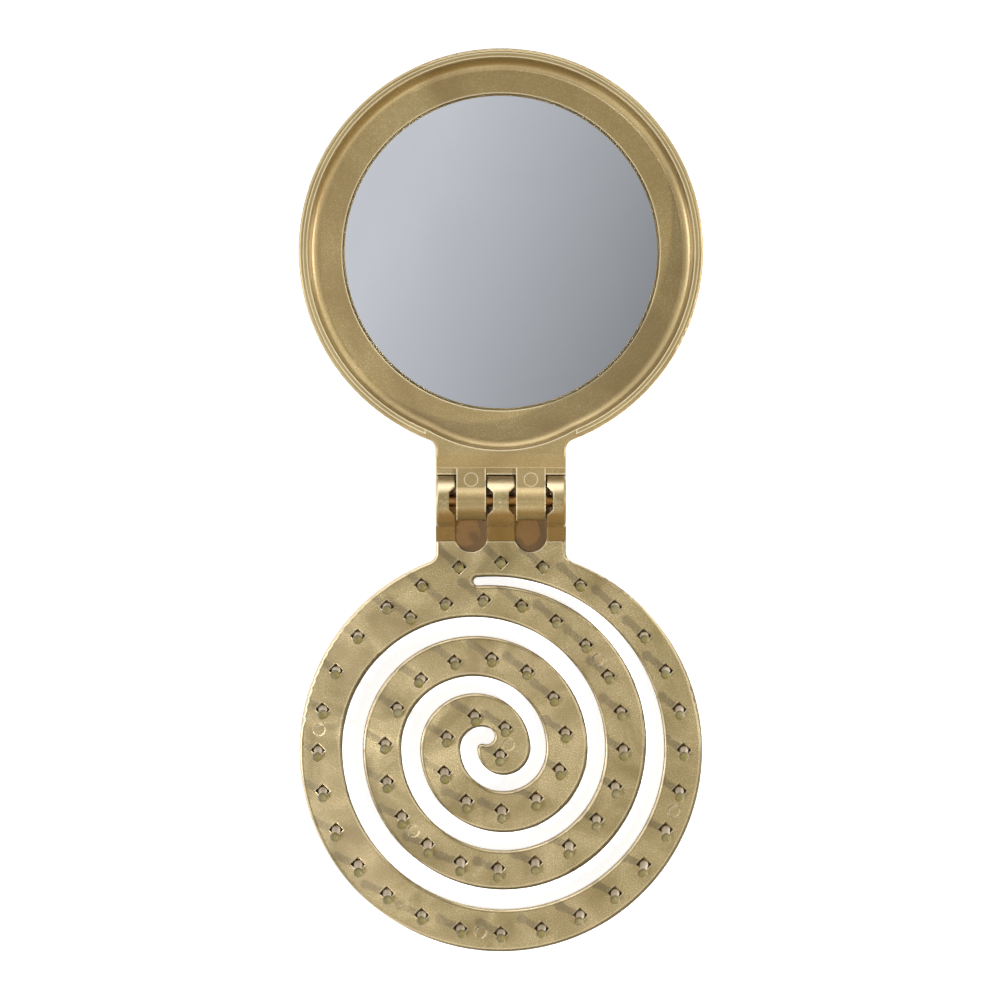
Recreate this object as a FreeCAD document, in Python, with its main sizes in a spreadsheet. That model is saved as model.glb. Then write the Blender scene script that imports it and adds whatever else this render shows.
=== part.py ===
import FreeCAD, Part
import math
import os

import Sketcher
from FreeCAD import Vector

# A pocket hair brush that folds under a mirror lid. It lies open on its back: X across, Y from the brush
# towards the lid, Z up, with the origin on the table below the hinge axis. All sizes are in millimetres.

SIZES = {
    # both discs and the hinge between them
    "disc_radius": 35.0,
    "neck_width": 22.6,
    "neck_corner_radius": 1.8,
    "sill_reach": 0.8,
    "closing_gap": 0.1,
    # brush: a front plate on a back cover
    "plate_thick": 2.2,
    "cover_thick": 1.8,
    "front_edge_radius": 0.6,
    "back_edge_radius": 0.9,
    # spiral slot: the edge on the rim's side and the edge on the middle's side, each made of half turns
    "rim_width": 7.05,
    "slot_width": 3.4,
    "slot_outer_end": 7.43,
    "slot_outer_offset": 0.38,
    "slot_outer_lead": 1.9,
    "slot_inner_end": 4.63,
    "slot_inner_offset": 0.5,
    "slot_inner_lead": 2.6,
    "slot_inner_lead_rise": 1.05,
    "slot_rise": 0.3,
    "slot_hook_radius": 3.75,
    # bristles and the holes they stand in
    "bristle_height": 8.0,
    "bristle_shaft_radius": 0.6,
    "bristle_tip_radius": 0.85,
    "bristle_head_radius": 1.3,
    "bristle_head_thick": 0.7,
    "bristle_head_clearance": 0.1,
    "bristle_hole_clearance": 0.3,
    "bristle_room": 1.25,
    "bristle_ring_inset": 3.2,
    "bristle_ring_shift": 0.8,
    "bristle_path_inset": 0.4,
    "bristle_spacing": 6.66,
    # posts that join the cover to the plate, and the round marks over them
    "post_radius": 0.8,
    "post_height": 1.2,
    "post_clearance": 0.05,
    "mark_radius": 1.0,
    "mark_depth": 0.15,
    # hinge
    "pin_radius": 1.0,
    "pin_end_recess": 0.3,
    "pin_end_chamfer": 0.2,
    "press_clearance": 0.01,
    "running_clearance": 0.05,
    "yoke_radius": 4.5,
    "yoke_edge_radius": 0.5,
    "ramp_reach": 7.0,
    "ramp_drop": 1.6,
    "arm_offset": 5.17,
    "arm_width": 5.1,
    "arm_clearance": 0.28,
    "arm_half_height": 2.45,
    "knuckle_radius": 3.4,
    "arm_slot_reach": 8.9,
    "window_margin": 0.995,
    "window_half_length": 2.35,
    "window_corner": 0.87,
    "ejector_radius": 1.1,
    "ejector_place": 3.7,
    # lid
    "lid_wall": 1.5,
    "lid_back_thick": 1.0,
    "lid_back_radius": 2.2,
    "lid_cove_radius": 1.9,
    "shoulder_width": 0.7,
    "lip_height": 0.3,
    "lip_end_gap": 1.7,
    "shoulder_radius": 0.5,
    "bulge_centre": 9.9,
    "bulge_clearance": 1.05,
    "bulge_blend_radius": 8.0,
    "tab_flat": 0.3,
    "tab_slope_length": 2.3,
    "tab_slope_drop": 1.05,
    "tab_under": 4.4,
    "ledge_gap": 0.1,
    "ledge_width": 1.1,
    "ledge_rise": 1.0,
    # mirror and its tape
    "mirror_border": 5.9,
    "mirror_thick": 1.2,
    "mirror_bevel": 0.25,
    "mirror_clearance": 0.2,
    "mirror_sink": 0.3,
    "tape_border": 2.4,
    "tape_thick": 0.25,
    # how far a cut runs past the face that it opens
    "overrun": 2.0,
}

# Counts, and angles in degrees clockwise from the hinge side, or anticlockwise from X for the slot's ends.
RING_BRISTLES = 28
SLOT_TURNS = 2
SLOT_START_DEG = 95.0
SLOT_END_DEG = 72.0
PATH_START_DEG = -31.0
PATH_PAST_LAST_TURN_DEG = 125.0
SECOND_TURN_END_DEG = 280.0

# Places of the round marks, as shares of the way round the ring and along the band.
RING_MARK_SHARES = (0.3, 0.52, 0.77)
PATH_MARK_SHARES = (0.16, 0.45, 0.98)

# Sizes that follow from the ones above, as cells of the same sheet.
DERIVED = {
    "tab_slope_place": "disc_radius + tab_flat",
    "tab_edge_place": "tab_slope_place + tab_slope_length",
    "ledge_place": "tab_edge_place + ledge_width",
    "hinge_to_centre": "ledge_place + ledge_gap + yoke_radius",
    "brush_thick": "cover_thick + plate_thick",
    "neck_half": "neck_width / 2",
    "mirror_floor": "lid_back_thick + tape_thick",
    "lid_floor": "mirror_floor + mirror_thick + mirror_sink",
    "lid_height": "lid_floor + bristle_height + bristle_room",
    "hinge_height": "(lid_height + brush_thick + closing_gap) / 2",
    "slot_outer_radius": "disc_radius - rim_width",
    "slot_outer_step": f"(slot_outer_radius - slot_outer_end) / {2 * SLOT_TURNS}",
    "slot_inner_radius": "slot_outer_radius - slot_width",
    "slot_inner_step": f"(slot_inner_radius - slot_inner_end) / {2 * SLOT_TURNS}",
    "bristle_hole_side": "2 * (bristle_shaft_radius + bristle_hole_clearance)",
    "bristle_ring_radius": "disc_radius - bristle_ring_inset",
    "head_pocket_radius": "bristle_head_radius + bristle_head_clearance",
    "head_pocket_depth": "bristle_head_thick + bristle_head_clearance",
    "socket_radius": "post_radius + post_clearance",
    "socket_depth": "post_height + post_clearance",
    "mark_floor": "brush_thick - mark_depth",
    "yoke_end": "hinge_to_centre + yoke_radius",
    "sill_end": "yoke_end + sill_reach",
    "yoke_clear": "hinge_height + yoke_radius + overrun",
    "ramp_foot": "hinge_to_centre - ramp_reach",
    "ramp_top": "hinge_to_centre - sqrt(yoke_radius ^ 2 - ramp_drop ^ 2)",
    "ramp_top_height": "hinge_height - ramp_drop",
    "arm_inside": "arm_offset - arm_width / 2",
    "arm_outside": "arm_offset + arm_width / 2",
    "arm_slot_half": "arm_width / 2 + arm_clearance",
    "arm_slot_inside": "arm_offset - arm_slot_half",
    "arm_slot_outside": "arm_offset + arm_slot_half",
    "arm_slot_turn": "hinge_to_centre - arm_slot_reach + arm_slot_half",
    "arm_slot_mouth": "yoke_end + overrun",
    "window_inside": "arm_slot_inside - window_margin",
    "window_outside": "arm_slot_outside + window_margin",
    "window_inside_corner": "window_inside + window_corner",
    "window_outside_corner": "window_outside - window_corner",
    "window_near": "hinge_to_centre - window_half_length",
    "window_far": "hinge_to_centre + window_half_length",
    "window_near_corner": "window_near + window_corner",
    "window_far_corner": "window_far - window_corner",
    "press_radius": "pin_radius + press_clearance",
    "running_radius": "pin_radius + running_clearance",
    "pin_length": "neck_width - 2 * pin_end_recess",
    "cavity_radius": "disc_radius - lid_wall",
    "cavity_depth": "lid_height - lid_floor",
    "recess_radius": "cavity_radius - mirror_border",
    "recess_depth": "lid_floor - lid_back_thick",
    "mirror_radius": "recess_radius - mirror_clearance",
    "tape_radius": "mirror_radius - tape_border",
    "bulge_reach": "bristle_ring_radius + bristle_ring_shift + bristle_tip_radius + bulge_clearance",
    "bulge_radius": "bulge_reach - bulge_centre",
    "shoulder_height": "lid_height - lip_height",
    "lip_radius": "disc_radius - shoulder_width",
    "lip_end_half": "neck_half + lip_end_gap",
    "lip_end_far": "disc_radius + overrun",
    "lip_end_near": "sqrt(cavity_radius ^ 2 - lip_end_half ^ 2) - overrun",
    "ledge_top": "hinge_height + ledge_rise",
    "tab_slope_end": "shoulder_height - tab_slope_drop",
    "tab_root_place": "sqrt(cavity_radius ^ 2 - neck_half ^ 2)",
    "arm_top": "hinge_height + arm_half_height",
    "arm_under": "hinge_height - arm_half_height",
    "ejector_along": "hinge_to_centre - ejector_place",
    "ejector_floor": "arm_top - mark_depth",
}

# Two coordinates closer than this are the same.
ROUNDING = 1e-5

doc = FreeCAD.newDocument("folding_hair_brush")
sheet = doc.addObject("Spreadsheet::Sheet", "Sizes")
cells = [(name, str(number)) for name, number in SIZES.items()]
cells += [(name, "=" + rule) for name, rule in DERIVED.items()]
for row, (name, text) in enumerate(cells, start=1):
    sheet.set(f"A{row}", name)
    sheet.set(f"B{row}", text)
    sheet.setAlias(f"B{row}", name)
doc.recompute()


def size(name):
    """Number in the sheet's cell of that name, negative where the name has a minus before it."""
    if name.startswith("-"):
        return -size(name[1:])
    return 0.0 if name == "0" else float(sheet.get(name))


def cell(name):
    """The same cell as the text of an expression."""
    if name.startswith("-"):
        return "-" + cell(name[1:])
    return name if name == "0" else "Sizes." + name


def new_body(label, along=None):
    """Body of one piece, with its own origin at the named place along Y."""
    body = doc.addObject("PartDesign::Body", label)
    body.Label = label
    if along:
        body.setExpression("Placement.Base.y", cell(along))
    return body


def sketch_on(body, name, plane, lift="0"):
    """Empty sketch on one of the body's own planes, lifted along that plane's normal."""
    sketch = body.newObject("Sketcher::SketchObject", name)
    support = next(item for item in body.Origin.OriginFeatures if item.Role == plane)
    sketch.AttachmentSupport = (support, "")
    sketch.MapMode = "FlatFace"
    sketch.setExpression("AttachmentOffset.Base.z", cell(lift))
    return sketch


def tie_point(sketch, element, end, place):
    """Holds a point of the sketch at two named sizes from the sketch's origin."""
    for kind, name in zip(("DistanceX", "DistanceY"), place):
        number = sketch.addConstraint(Sketcher.Constraint(kind, -1, 1, element, end, size(name)))
        sketch.setExpression(f"Constraints[{number}]", cell(name))


def add_polygon(sketch, corners):
    """Closed outline through corners that are pairs of size names."""
    points = [Vector(size(x), size(y), 0) for x, y in corners]
    lines = [Part.LineSegment(a, b) for a, b in zip(points, points[1:] + points[:1])]
    first = sketch.addGeometry(lines, False)[0]
    for index, place in enumerate(corners):
        before = first + (index - 1) % len(corners)
        sketch.addConstraint(Sketcher.Constraint("Coincident", before, 2, first + index, 1))
        tie_point(sketch, first + index, 1, place)


def add_circle(sketch, place, radius):
    """Circle whose centre and radius are size names."""
    centre = Vector(size(place[0]), size(place[1]), 0)
    element = sketch.addGeometry(Part.Circle(centre, Vector(0, 0, 1), size(radius)), False)
    tie_point(sketch, element, 3, place)
    number = sketch.addConstraint(Sketcher.Constraint("Radius", element, size(radius)))
    sketch.setExpression(f"Constraints[{number}]", cell(radius))


def checked(feature, before, grows):
    """The feature after a recompute, once its solid has grown or shrunk as it should."""
    doc.recompute()
    grown = feature.Shape.Volume - before
    if (grown > 0) != grows:
        raise RuntimeError(f"{feature.Name} changed the volume by {grown:.3f}")
    return feature


def volume_of(body):
    """Volume of the body so far."""
    doc.recompute()
    return body.Shape.Volume if body.Tip else 0.0


def pad(body, sketch, length, symmetric=False):
    """Adds the sketch's outline to the body over a named length."""
    before = volume_of(body)
    feature = body.newObject("PartDesign::Pad", sketch.Name + "_pad")
    feature.Profile = sketch
    feature.setExpression("Length", cell(length))
    feature.SideType = "Symmetric" if symmetric else "One side"
    return checked(feature, before, True)


def pocket(body, sketch, length=None, upwards=False, symmetric=False):
    """Cuts the sketch's outline out of the body, right through where no length is named."""
    before = volume_of(body)
    feature = body.newObject("PartDesign::Pocket", sketch.Name + "_cut")
    feature.Profile = sketch
    feature.Type = "Length" if length else "ThroughAll"
    if length:
        feature.setExpression("Length", cell(length))
    feature.Reversed = upwards
    feature.SideType = "Symmetric" if symmetric else "One side"
    return checked(feature, before, False)


def soften(body, name, width, chosen, bevel=False):
    """Rounds, or bevels, the edges of the body's last solid that the test picks."""
    doc.recompute()
    base = body.Tip
    edges = [f"Edge{number}" for number, edge in enumerate(base.Shape.Edges, start=1) if chosen(edge)]
    feature = body.newObject("PartDesign::Chamfer" if bevel else "PartDesign::Fillet", name)
    feature.Base = (base, edges)
    feature.setExpression("Size" if bevel else "Radius", cell(width))
    doc.recompute()
    return feature


def is_near(a, b):
    """Whether two lengths are the same within a rounding error."""
    return math.isclose(a, b, abs_tol=ROUNDING)


def lies_at(edge, level):
    """Whether an edge lies level at a height."""
    return is_near(edge.BoundBox.ZMin, level) and is_near(edge.BoundBox.ZMax, level)


def stands_at(edge, *names):
    """Whether an edge lies in one of the planes across X at the named distances from the middle."""
    box = edge.BoundBox
    return is_near(box.XMin, box.XMax) and any(is_near(abs(box.XMin), size(name)) for name in names)


def is_upright(edge):
    """Whether an edge is a straight line along Z."""
    return isinstance(edge.Curve, Part.Line) and is_near(abs(edge.tangentAt(edge.FirstParameter).z), 1)


def is_round(edge):
    """Whether an edge is a circle or an arc of one."""
    return isinstance(edge.Curve, Part.Circle)


def runs_along_x(edge):
    """Whether an edge is a straight line along X."""
    return isinstance(edge.Curve, Part.Line) and is_near(abs(edge.tangentAt(edge.FirstParameter).x), 1)


def is_junction(edge, radius="disc_radius"):
    """Whether an upright edge stands on a circle round the middle, such as where the neck meets the disc."""
    reach = math.hypot(edge.Vertexes[0].X, edge.Vertexes[0].Y)
    return is_upright(edge) and is_near(reach, size(radius))


# The spiral slot: each edge is a chain of half circles about two centres side by side, so that its radius
# loses one step at each half turn. The chain starts with a wider arc and ends in a hook round the last band.

class Turn:
    """One arc of the slot's edge, run clockwise from one angle to another, in radians."""

    def __init__(self, x, y, radius, start, end):
        self.centre = Vector(x, y, 0)
        self.radius = radius
        self.start = start
        self.end = end

    def point(self, angle):
        """Point of the arc's circle at an angle."""
        return self.centre + Vector(math.cos(angle), math.sin(angle), 0) * self.radius

    def geometry(self):
        """The arc as sketch geometry, which runs the other way round."""
        circle = Part.Circle(self.centre, Vector(0, 0, 1), self.radius)
        return Part.ArcOfCircle(circle, self.end, self.start)


def slot_edge(side, lead_rise, hook_centre=None):
    """Arcs of one edge of the slot, from its start beside the neck to its hook in the middle."""
    radius = size(f"slot_{side}_radius")
    step = size(f"slot_{side}_step")
    near = size(f"slot_{side}_offset")
    lead = size(f"slot_{side}_lead")
    level = size("slot_rise")
    join = math.atan2(-lead_rise, lead)
    start = math.radians(SLOT_START_DEG)
    turns = [Turn(near - lead, level + lead_rise, radius + math.hypot(lead, lead_rise), start, join)]
    turns.append(Turn(near, level, radius, join, -math.pi))
    for half_turn in range(1, 2 * SLOT_TURNS + 1):
        inner = radius - half_turn * step
        if half_turn % 2:
            turns.append(Turn(near - step, level, inner, math.pi, 0))
        else:
            turns.append(Turn(near, level, inner, 0, -math.pi))
    left = near - turns[-1].radius
    hook = hook_centre if hook_centre is not None else left + size("slot_hook_radius")
    turns.append(Turn(hook, level, hook - left, math.pi, math.radians(SLOT_END_DEG)))
    return turns


def slot_geometry():
    """Closed outline of the spiral slot: two edges, a round start that touches both, and a round end."""
    outer = slot_edge("outer", 0.0)
    inner = slot_edge("inner", size("slot_inner_lead_rise"), outer[-1].centre.x)
    first, second = outer[0], inner[0]
    ray = Vector(math.cos(first.start), math.sin(first.start), 0)
    apart = first.centre - second.centre
    along = apart.dot(ray)
    lead = apart.Length ** 2 + 2 * first.radius * along + first.radius ** 2 - second.radius ** 2
    start_radius = lead / (2 * (first.radius + second.radius + along))
    start_centre = first.centre + ray * (first.radius - start_radius)
    toward = start_centre - second.centre
    second.start = math.atan2(toward.y, toward.x)
    cap = Turn(start_centre.x, start_centre.y, start_radius, second.start + math.pi, first.start)
    hook, heart = outer[-1], inner[-1]
    end_radius = (hook.radius - heart.radius) / 2
    end_ray = Vector(math.cos(hook.end), math.sin(hook.end), 0)
    end_centre = hook.centre + end_ray * (heart.radius + end_radius)
    end_cap = Turn(end_centre.x, end_centre.y, end_radius, hook.end, hook.end - math.pi)
    return [turn.geometry() for turn in outer + inner + [cap, end_cap]]


def clockwise(angle, radius, centre):
    """Point at an angle clockwise from the hinge side, in degrees, and a distance from a centre."""
    turn = math.radians(angle)
    return centre + Vector(math.sin(turn), math.cos(turn), 0) * radius


def ring_place(number):
    """Place of a bristle of the rim's ring; the three beside the hinge stand further out."""
    angle = number * 360 / RING_BRISTLES
    shift = size("bristle_ring_shift") if round(number) % RING_BRISTLES in (0, 1, RING_BRISTLES - 1) else 0.0
    return clockwise(angle, size("bristle_ring_radius") + shift, Vector(0, 0, 0))


def path_angles():
    """Angles of the band's bristles, as many as have room at even steps along a spiral down its middle."""
    last = 360 * SLOT_TURNS + PATH_PAST_LAST_TURN_DEG
    angles = [PATH_START_DEG]
    while angles[-1] < last:
        angles.append(angles[-1] + math.degrees(size("bristle_spacing") / path_radius(angles[-1])))
    return angles[:-1]


def path_radius(angle):
    """Radius of the bristles' path, just inside the middle of the band; it loses two steps at each turn."""
    outer = size("slot_outer_radius") - size("slot_outer_step")
    inner = size("slot_inner_radius") + size("slot_inner_step")
    pitch = size("slot_outer_step") + size("slot_inner_step")
    return (outer + inner) / 2 - size("bristle_path_inset") - pitch * angle / 360


def path_place(angle):
    """Place on the middle of the band, about the point midway between the slot's two centres."""
    across = size("slot_inner_offset") - size("slot_inner_step") / 2
    return clockwise(angle, path_radius(angle), Vector(across, size("slot_rise"), 0))


def ring_mark(share):
    """Place of a mark midway between two bristles of the ring, at a share of the way round."""
    before = math.floor(share * RING_BRISTLES)
    return ring_place((before + before + 1) / 2)


def path_mark(share):
    """Place of a mark midway between two bristles of the band, at a share of the way along."""
    before = math.floor(share * (len(angles) - 1))
    return path_place((angles[before] + angles[before + 1]) / 2)


angles = path_angles()
ring_places = [ring_place(number) for number in range(RING_BRISTLES)]
second_turn_places = [path_place(angle) for angle in angles if angle < SECOND_TURN_END_DEG]
inner_turn_places = [path_place(angle) for angle in angles if angle >= SECOND_TURN_END_DEG]
bristle_places = ring_places + second_turn_places + inner_turn_places
post_places = [ring_mark(share) for share in RING_MARK_SHARES]
post_places += [path_mark(share) for share in PATH_MARK_SHARES]


def add_circles(sketch, places, radius):
    """Equal circles at worked-out places, each held to the named radius."""
    for place in places:
        element = sketch.addGeometry(Part.Circle(place, Vector(0, 0, 1), size(radius)), False)
        number = sketch.addConstraint(Sketcher.Constraint("Radius", element, size(radius)))
        sketch.setExpression(f"Constraints[{number}]", cell(radius))


def add_diamonds(sketch, places, side):
    """Equal square holes, each standing on a corner, at worked-out places."""
    reach = size(side) / math.sqrt(2)
    turns = (Vector(reach, 0, 0), Vector(0, reach, 0), Vector(-reach, 0, 0), Vector(0, -reach, 0))
    for place in places:
        corners = [place + turn for turn in turns]
        lines = [Part.LineSegment(a, b) for a, b in zip(corners, corners[1:] + corners[:1])]
        sketch.addGeometry(lines, False)


def add_disc_and_neck(body, base, thick, end):
    """Disc with its neck up to a named end at the hinge, and round corners where the two meet."""
    disc = sketch_on(body, "disc", "XY_Plane", base)
    add_circle(disc, ("0", "0"), "disc_radius")
    pad(body, disc, thick)
    neck = sketch_on(body, "neck", "XY_Plane", base)
    add_polygon(neck, [
        ("-neck_half", "0"), ("neck_half", "0"), ("neck_half", end), ("-neck_half", end),
    ])
    pad(body, neck, thick)
    soften(body, "neck_corners", "neck_corner_radius", is_junction)


def cut_spiral(body, level):
    """Spiral slot right through the band."""
    slot = sketch_on(body, "spiral_slot", "XY_Plane", level)
    slot.addGeometry(slot_geometry(), False)
    pocket(body, slot)


def add_yoke(body):
    """Raised hinge barrel across the end of the neck, on a block with a ramp down to the plate."""
    block = sketch_on(body, "yoke_block", "YZ_Plane")
    add_polygon(block, [
        ("ramp_foot", "cover_thick"), ("ramp_foot", "brush_thick"), ("ramp_top", "ramp_top_height"),
        ("hinge_to_centre", "hinge_height"), ("yoke_end", "hinge_height"), ("yoke_end", "cover_thick"),
    ])
    pad(body, block, "neck_width", symmetric=True)
    barrel = sketch_on(body, "yoke_barrel", "YZ_Plane")
    add_circle(barrel, ("hinge_to_centre", "hinge_height"), "yoke_radius")
    pad(body, barrel, "neck_width", symmetric=True)
    soften(body, "yoke_edges", "yoke_edge_radius",
           lambda edge: stands_at(edge, "neck_half") and edge.BoundBox.ZMax > size("ramp_top_height"))


def cut_arm_slots(body):
    """Two slots with round ends that the lid's arms swing through, each wider beside its knuckle."""
    runs = sketch_on(body, "arm_slots", "XY_Plane", "yoke_clear")
    rounds = sketch_on(body, "arm_slot_ends", "XY_Plane", "yoke_clear")
    windows = sketch_on(body, "knuckle_windows", "XY_Plane", "yoke_clear")
    for sign in ("", "-"):
        inside, outside = sign + "arm_slot_inside", sign + "arm_slot_outside"
        add_polygon(runs, [
            (inside, "arm_slot_turn"), (outside, "arm_slot_turn"),
            (outside, "arm_slot_mouth"), (inside, "arm_slot_mouth"),
        ])
        add_circle(rounds, (sign + "arm_offset", "arm_slot_turn"), "arm_slot_half")
        add_polygon(windows, [
            (sign + "window_inside_corner", "window_near"), (sign + "window_outside_corner", "window_near"),
            (sign + "window_outside", "window_near_corner"), (sign + "window_outside", "window_far_corner"),
            (sign + "window_outside_corner", "window_far"), (sign + "window_inside_corner", "window_far"),
            (sign + "window_inside", "window_far_corner"), (sign + "window_inside", "window_near_corner"),
        ])
    for sketch in (runs, rounds, windows):
        pocket(body, sketch)


def build_front_plate():
    """Front plate: spiral band, neck and yoke, with a hole and a head pocket for each bristle."""
    body = new_body("brush_front_plate", "-hinge_to_centre")
    add_disc_and_neck(body, "cover_thick", "plate_thick", "yoke_end")
    cut_spiral(body, "brush_thick")
    soften(body, "front_edges", "front_edge_radius", lambda edge: lies_at(edge, size("brush_thick")))
    add_yoke(body)
    cut_arm_slots(body)
    bore = sketch_on(body, "pin_bore", "YZ_Plane")
    add_circle(bore, ("hinge_to_centre", "hinge_height"), "press_radius")
    pocket(body, bore, "neck_width", symmetric=True)
    heads = sketch_on(body, "head_pockets", "XY_Plane", "cover_thick")
    add_circles(heads, bristle_places, "head_pocket_radius")
    pocket(body, heads, "head_pocket_depth", upwards=True)
    holes = sketch_on(body, "bristle_holes", "XY_Plane", "brush_thick")
    add_diamonds(holes, bristle_places, "bristle_hole_side")
    pocket(body, holes)
    sockets = sketch_on(body, "post_sockets", "XY_Plane", "cover_thick")
    add_circles(sockets, post_places, "socket_radius")
    pocket(body, sockets, "socket_depth", upwards=True)
    marks = sketch_on(body, "post_marks", "XY_Plane", "mark_floor")
    add_circles(marks, post_places, "mark_radius")
    pocket(body, marks, "overrun", upwards=True)
    return body


def build_back_cover():
    """Back cover: the same band with a soft back edge, posts that enter the plate, and a sill."""
    body = new_body("brush_back_cover", "-hinge_to_centre")
    add_disc_and_neck(body, "0", "cover_thick", "sill_end")
    cut_spiral(body, "cover_thick")
    soften(body, "back_edges", "back_edge_radius", lambda edge: lies_at(edge, 0.0))
    posts = sketch_on(body, "posts", "XY_Plane", "cover_thick")
    add_circles(posts, post_places, "post_radius")
    pad(body, posts, "post_height")
    return body


def build_hinge_pin():
    """Straight hinge pin along X, with its ends bevelled."""
    body = new_body("hinge_pin")
    section = sketch_on(body, "section", "YZ_Plane")
    add_circle(section, ("0", "hinge_height"), "pin_radius")
    pad(body, section, "pin_length", symmetric=True)
    soften(body, "ends", "pin_end_chamfer", is_round, bevel=True)
    return body


def add_tab(body):
    """Tab from the lid's wall towards the hinge: a flat, a slope, and a ledge that stops at the yoke."""
    tab = sketch_on(body, "tab", "YZ_Plane")
    add_polygon(tab, [
        ("-tab_root_place", "tab_under"), ("-tab_root_place", "shoulder_height"),
        ("-tab_slope_place", "shoulder_height"), ("-tab_edge_place", "tab_slope_end"),
        ("-tab_edge_place", "ledge_top"), ("-ledge_place", "ledge_top"), ("-ledge_place", "tab_under"),
    ])
    pad(body, tab, "neck_width", symmetric=True)


def add_knuckle(body, side, start):
    """Arm out of the tab and the knuckle at its end, from a named place along X."""
    arm = sketch_on(body, side + "_arm", "YZ_Plane", start)
    add_polygon(arm, [
        ("-tab_slope_place", "arm_under"), ("-tab_slope_place", "arm_top"),
        ("-hinge_to_centre", "arm_top"), ("-hinge_to_centre", "arm_under"),
    ])
    pad(body, arm, "arm_width")
    knuckle = sketch_on(body, side + "_knuckle", "YZ_Plane", start)
    add_circle(knuckle, ("-hinge_to_centre", "hinge_height"), "knuckle_radius")
    pad(body, knuckle, "arm_width")


def cut_cavity(body):
    """Hollow of the lid, drawn out beside the hinge to clear the bristles there, and the mirror's recess."""
    cavity = sketch_on(body, "cavity", "XY_Plane", "lid_height")
    add_circle(cavity, ("0", "0"), "cavity_radius")
    pocket(body, cavity, "cavity_depth")
    bulge = sketch_on(body, "bulge", "XY_Plane", "lid_height")
    add_circle(bulge, ("0", "-bulge_centre"), "bulge_radius")
    pocket(body, bulge, "cavity_depth")
    floor = size("lid_floor")
    soften(body, "bulge_ends", "bulge_blend_radius",
           lambda edge: is_junction(edge, "cavity_radius") and is_near(edge.BoundBox.ZMin, floor))
    soften(body, "cove", "lid_cove_radius", lambda edge: lies_at(edge, floor))
    recess = sketch_on(body, "mirror_recess", "XY_Plane", "lid_floor")
    add_circle(recess, ("0", "0"), "recess_radius")
    pocket(body, recess, "recess_depth")


def build_lid_shell():
    """Lid: a cup with a lip on its rim, a stepped mirror seat, a tab and two hinge knuckles."""
    body = new_body("lid_shell", "hinge_to_centre")
    disc = sketch_on(body, "disc", "XY_Plane")
    add_circle(disc, ("0", "0"), "disc_radius")
    pad(body, disc, "shoulder_height")
    add_tab(body)
    soften(body, "tab_corners", "neck_corner_radius", is_junction)
    soften(body, "back_edge", "lid_back_radius", lambda edge: lies_at(edge, 0.0))
    soften(body, "shoulder_edge", "shoulder_radius",
           lambda edge: lies_at(edge, size("shoulder_height")) and not runs_along_x(edge))
    lip = sketch_on(body, "lip", "XY_Plane", "shoulder_height")
    add_circle(lip, ("0", "0"), "lip_radius")
    pad(body, lip, "lip_height")
    lip_end = sketch_on(body, "lip_end", "XY_Plane", "shoulder_height")
    add_polygon(lip_end, [
        ("-lip_end_half", "-lip_end_far"), ("lip_end_half", "-lip_end_far"),
        ("lip_end_half", "-lip_end_near"), ("-lip_end_half", "-lip_end_near"),
    ])
    pocket(body, lip_end, upwards=True)
    cut_cavity(body)
    add_knuckle(body, "left", "-arm_outside")
    add_knuckle(body, "right", "arm_inside")
    bore = sketch_on(body, "pin_bore", "YZ_Plane")
    add_circle(bore, ("-hinge_to_centre", "hinge_height"), "running_radius")
    pocket(body, bore, "neck_width", symmetric=True)
    ejectors = sketch_on(body, "ejector_marks", "XY_Plane", "ejector_floor")
    for sign in ("", "-"):
        add_circle(ejectors, (sign + "arm_offset", "-ejector_along"), "ejector_radius")
    pocket(body, ejectors, "overrun", upwards=True)
    return body


def build_mirror_adhesive():
    """Disc of double-sided tape on the floor of the recess."""
    tape = doc.addObject("Part::Cylinder", "mirror_adhesive")
    tape.Label = "mirror_adhesive"
    tape.setExpression("Radius", cell("tape_radius"))
    tape.setExpression("Height", cell("tape_thick"))
    tape.setExpression("Placement.Base.y", cell("hinge_to_centre"))
    tape.setExpression("Placement.Base.z", cell("lid_back_thick"))
    return tape


def build_mirror_glass():
    """Round mirror on the tape, with a fine bevel round its face."""
    body = new_body("mirror_glass", "hinge_to_centre")
    disc = sketch_on(body, "disc", "XY_Plane", "mirror_floor")
    add_circle(disc, ("0", "0"), "mirror_radius")
    pad(body, disc, "mirror_thick")
    face = size("mirror_floor") + size("mirror_thick")
    soften(body, "face_bevel", "mirror_bevel", lambda edge: lies_at(edge, face), bevel=True)
    return body


def build_bristle():
    """One bristle: a flat head, a round shaft and a ball tip, standing on the origin."""
    head = Part.makeCylinder(size("bristle_head_radius"), size("bristle_head_thick"))
    tip = size("plate_thick") + size("bristle_height")
    ball_centre = tip - size("bristle_tip_radius")
    shaft = Part.makeCylinder(size("bristle_shaft_radius"), ball_centre)
    ball = Part.makeSphere(size("bristle_tip_radius"), Vector(0, 0, ball_centre))
    return head.multiFuse([shaft, ball]).removeSplitter().Solids[0]


def build_bristles(label, places):
    """Group of equal bristles at worked-out places on the brush."""
    bristle = build_bristle()
    group = doc.addObject("Part::Feature", label)
    group.Label = label
    group.Shape = Part.makeCompound([bristle.translated(place) for place in places])
    group.setExpression("Placement.Base.y", cell("-hinge_to_centre"))
    group.setExpression("Placement.Base.z", cell("cover_thick"))
    return group


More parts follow.
